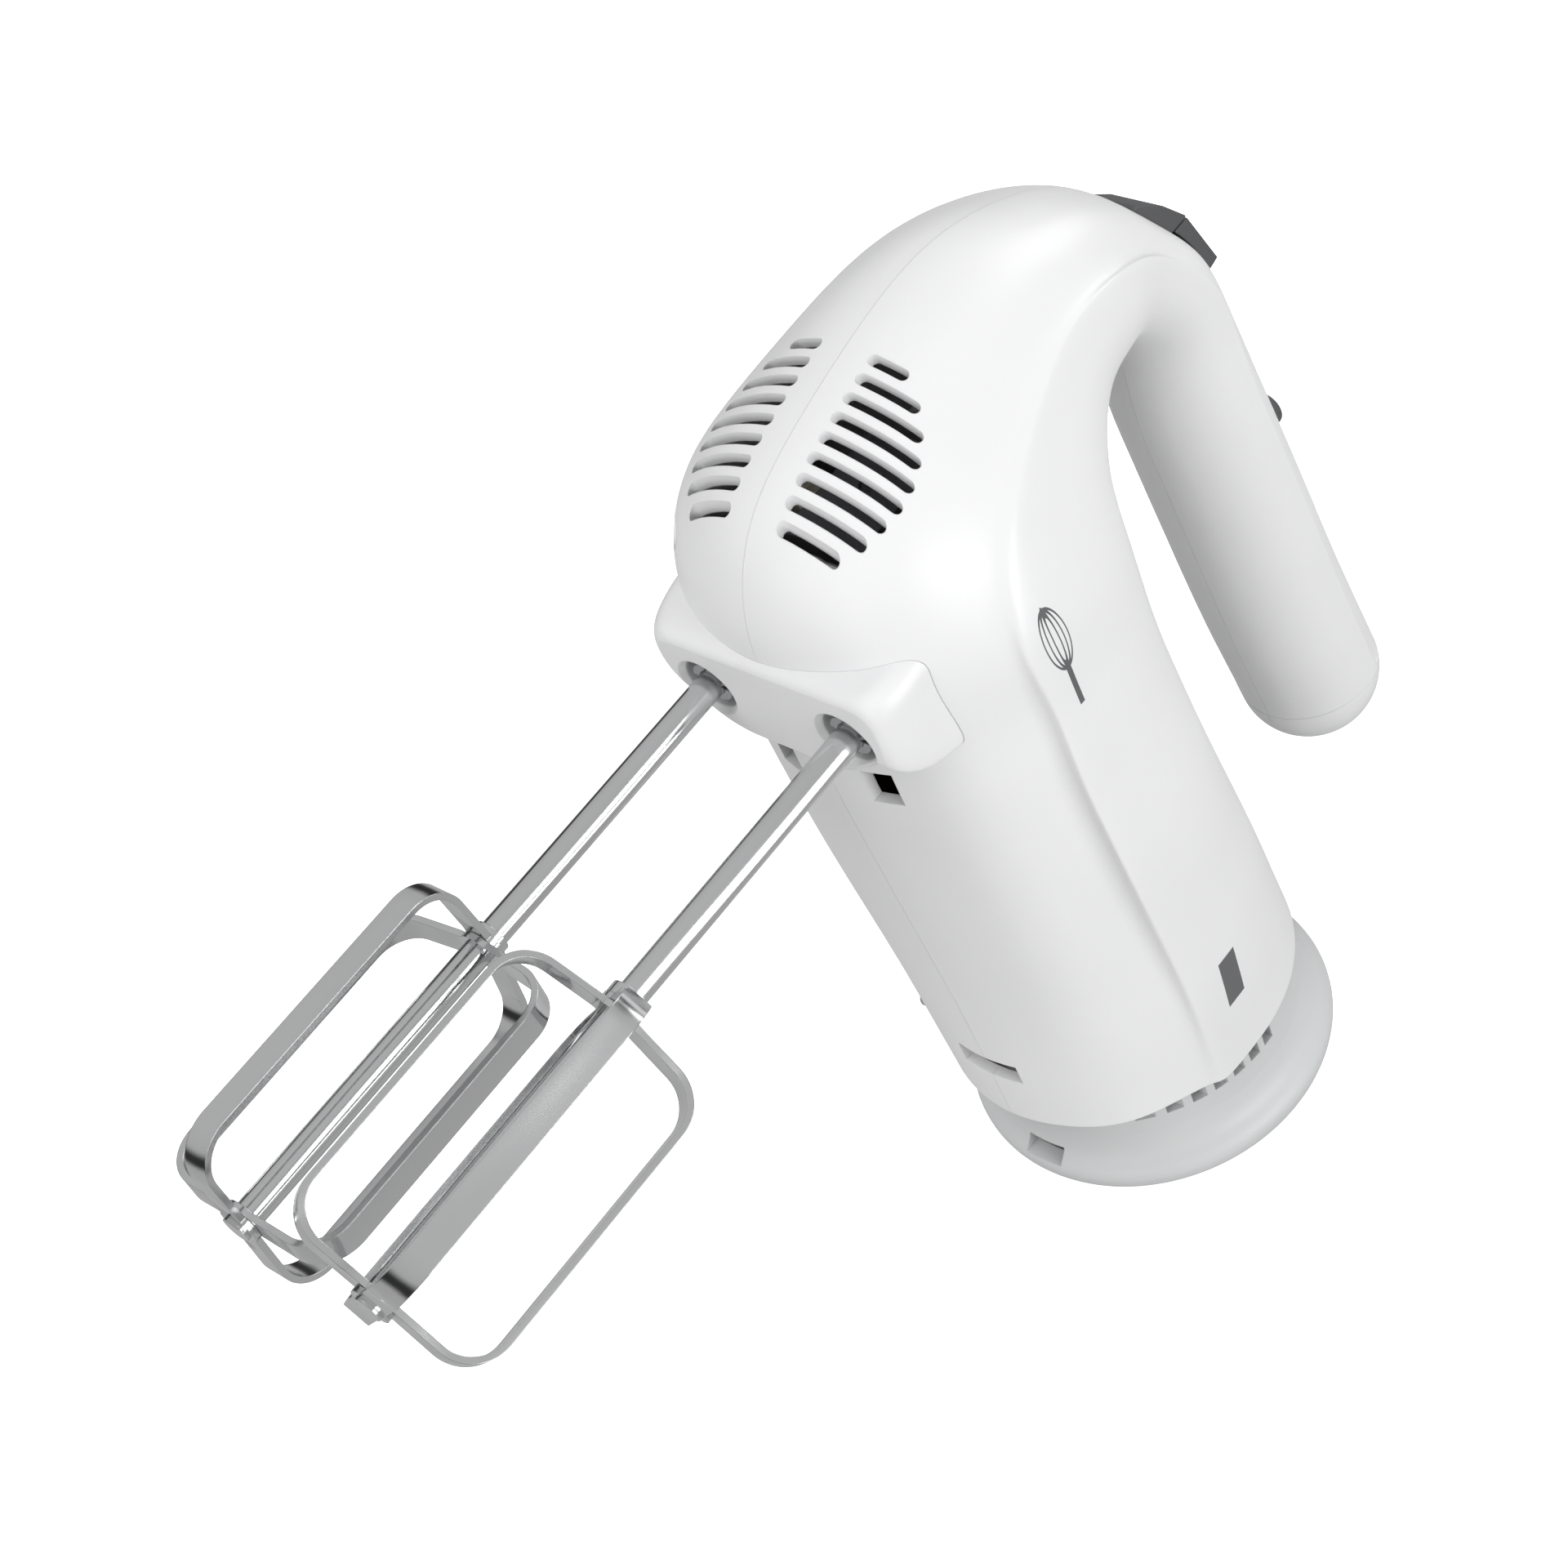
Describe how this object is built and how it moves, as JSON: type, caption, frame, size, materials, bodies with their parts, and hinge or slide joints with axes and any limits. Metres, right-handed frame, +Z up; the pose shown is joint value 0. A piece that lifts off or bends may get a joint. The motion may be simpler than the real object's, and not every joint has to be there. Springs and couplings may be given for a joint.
{
  "type": "hand mixer",
  "caption": "Handheld kitchen mixer with a hook handle, eject button, speed slider and turbo button, and wire beaters driven by a worm geared motor.",
  "frame": {"origin": "centre of the heel's flat face, which the mixer stands on", "axes": "+Z up from the heel towards the nose, the beaters point to -X, the handle is on +X"},
  "size_m": [0.2711, 0.0872, 0.2103],
  "materials": {
    "white_shell": "satin moulded",
    "collar_white": "satin moulded",
    "heel_frost": "frosted",
    "heel_rubber": "matte",
    "gland_rubber": "matte",
    "screw_steel": "zinc plated",
    "frame_nylon": "moulded",
    "bush_bronze": "sintered",
    "lamination": "varnished",
    "copper": "enamelled wire",
    "bridge_plastic": "moulded",
    "brass_tube": "drawn",
    "carbon": "pressed carbon",
    "commutator_copper": "turned",
    "shaft_steel": "ground",
    "fan_plastic": "moulded",
    "board_green": "laminate",
    "terminal_plastic": "moulded",
    "switch_black": "moulded",
    "control_dark": "satin",
    "ejector_plastic": "moulded",
    "spring_steel": "drawn",
    "spindle_steel": "turned",
    "wheel_nylon": "moulded",
    "beater_chrome": "polished"
  },
  "bodies": {
    "housing": {"left_shell": "white_shell", "right_shell": "white_shell", "beater_collar": "collar_white", "heel_cap": "heel_frost", "heel_ring": "heel_rubber", "cord_gland": "gland_rubber", "housing_screws": "screw_steel", "gear_frame": "frame_nylon", "spindle_bushes": "bush_bronze", "front_bearing": "bush_bronze", "rear_bearing": "bush_bronze", "stator_core": "lamination", "field_coils": "copper", "brush_bridge": "bridge_plastic", "brush_holders": "brass_tube", "carbon_brushes": "carbon", "motor_screws": "screw_steel", "control_board": "board_green", "terminal_block": "terminal_plastic", "speed_switch": "switch_black", "turbo_switch": "switch_black", "ejector_spring": "spring_steel", "turbo_spring": "spring_steel"},
    "rotor": {"armature_core": "lamination", "armature_windings": "copper", "commutator": "commutator_copper", "motor_shaft": "shaft_steel", "cooling_fan": "fan_plastic"},
    "ejector": {"ejector_plate": "ejector_plastic", "eject_button": "control_dark"},
    "slider": {"speed_slider": "control_dark"},
    "turbo": {"turbo_button": "control_dark"},
    "left_drive": {"left_spindle": "spindle_steel", "left_worm_wheel": "wheel_nylon"},
    "left_pin": {"left_eject_pin": "shaft_steel"},
    "left_beater": {"left_beater_shaft": "beater_chrome", "left_blade_a": "beater_chrome", "left_blade_b": "beater_chrome", "left_beater_sleeve": "beater_chrome"},
    "right_drive": {"right_spindle": "spindle_steel", "right_worm_wheel": "wheel_nylon"},
    "right_pin": {"right_eject_pin": "shaft_steel"},
    "right_beater": {"right_beater_shaft": "beater_chrome", "right_blade_a": "beater_chrome", "right_blade_b": "beater_chrome", "right_beater_sleeve": "beater_chrome"}
  },
  "joints": [
    {"name": "motor_spin", "type": "hinge", "parent": "housing", "child": "rotor", "pos_m": [-0.008, 0, 0.09], "axis": [0, 0, 1], "continuous": true},
    {"name": "left_spindle_spin", "type": "hinge", "parent": "housing", "child": "left_drive", "pos_m": [0, -0.017, 0.1607], "axis": [1, 0, 0], "continuous": true},
    {"name": "left_pin_push", "type": "slide", "parent": "left_drive", "child": "left_pin", "axis": [-1, 0, 0], "range_m": [0, 0.006]},
    {"name": "left_beater_pull", "type": "slide", "parent": "left_pin", "child": "left_beater", "axis": [-1, 0, 0], "range_m": [0, 0.032]},
    {"name": "right_spindle_spin", "type": "hinge", "parent": "housing", "child": "right_drive", "pos_m": [0, 0.017, 0.1607], "axis": [1, 0, 0], "continuous": true},
    {"name": "right_pin_push", "type": "slide", "parent": "right_drive", "child": "right_pin", "axis": [-1, 0, 0], "range_m": [0, 0.006]},
    {"name": "right_beater_pull", "type": "slide", "parent": "right_pin", "child": "right_beater", "axis": [-1, 0, 0], "range_m": [0, 0.032]},
    {"name": "eject_press", "type": "slide", "parent": "housing", "child": "ejector", "axis": [-1, 0, 0], "range_m": [0, 0.006], "stiffness_N_per_m": 500, "springref_m": -0.002, "deforming": ["ejector_spring"]},
    {"name": "speed_slide", "type": "hinge", "parent": "housing", "child": "slider", "pos_m": [0.0132, 0, 0.1387], "axis": [0, 1, 0], "range_deg": [0, 6.5]},
    {"name": "turbo_press", "type": "slide", "parent": "housing", "child": "turbo", "axis": [-1, 0, 0], "range_m": [0, 0.002], "stiffness_N_per_m": 300, "springref_m": -0.001, "deforming": ["turbo_spring"]}
  ],
  "couplings": [
    {"joint": "left_spindle_spin", "follows": "motor_spin", "ratio": -0.04},
    {"joint": "left_pin_push", "follows": "eject_press", "ratio": 1},
    {"joint": "right_spindle_spin", "follows": "motor_spin", "ratio": 0.04},
    {"joint": "right_pin_push", "follows": "eject_press", "ratio": 1}
  ]
}
